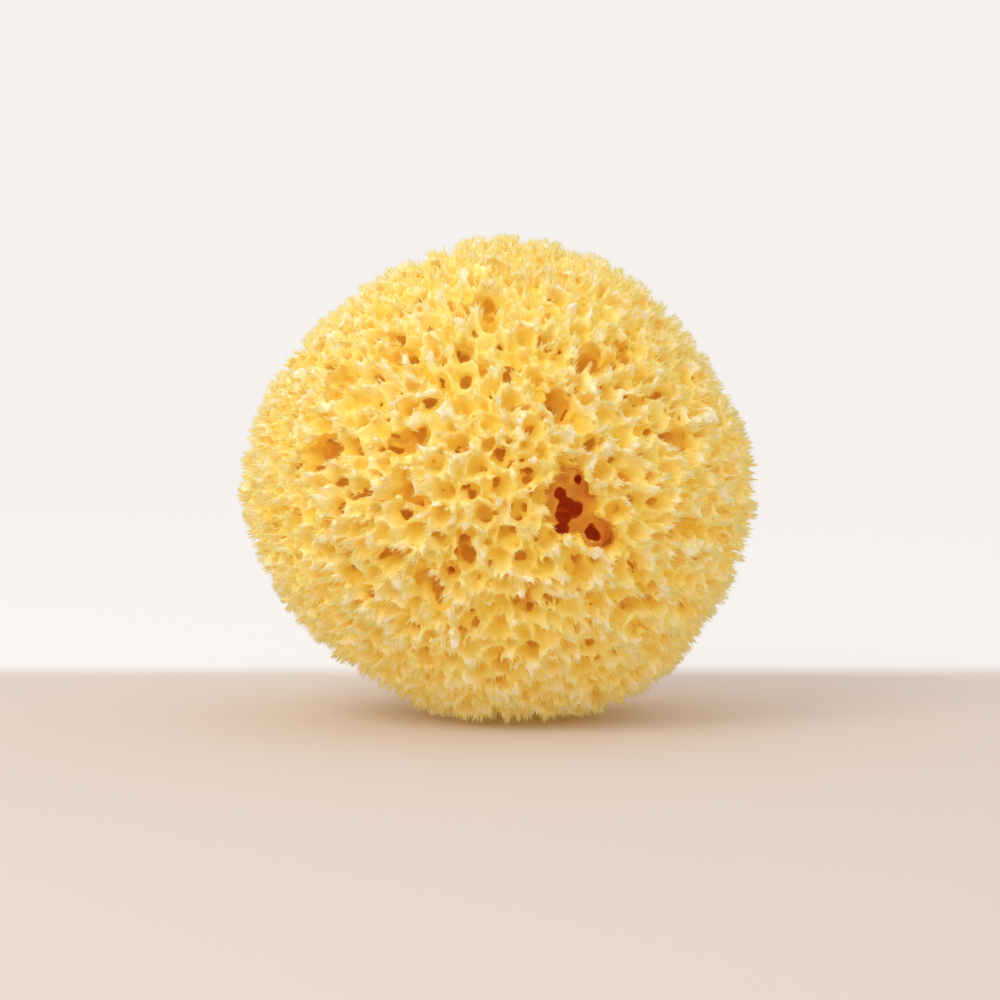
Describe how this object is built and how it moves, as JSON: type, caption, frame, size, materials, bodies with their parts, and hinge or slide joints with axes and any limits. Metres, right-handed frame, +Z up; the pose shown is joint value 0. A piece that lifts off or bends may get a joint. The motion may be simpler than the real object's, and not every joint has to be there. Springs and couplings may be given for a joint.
{
  "type": "natural sea sponge",
  "caption": "Round natural honeycomb bath sponge with open pits and frayed webs all over, resting on its flat cut foot; used for washing.",
  "frame": {"origin": "on the floor, under the middle of the sponge's box", "axes": "+Z up, +X to the right as seen from the front, the front with the large red pit faces -Y"},
  "size_m": [0.14, 0.1202, 0.13],
  "materials": {
    "dry_sponge_fibre": "matte"
  },
  "bodies": {
    "root": {"sponge": "dry_sponge_fibre"}
  },
  "joints": []
}
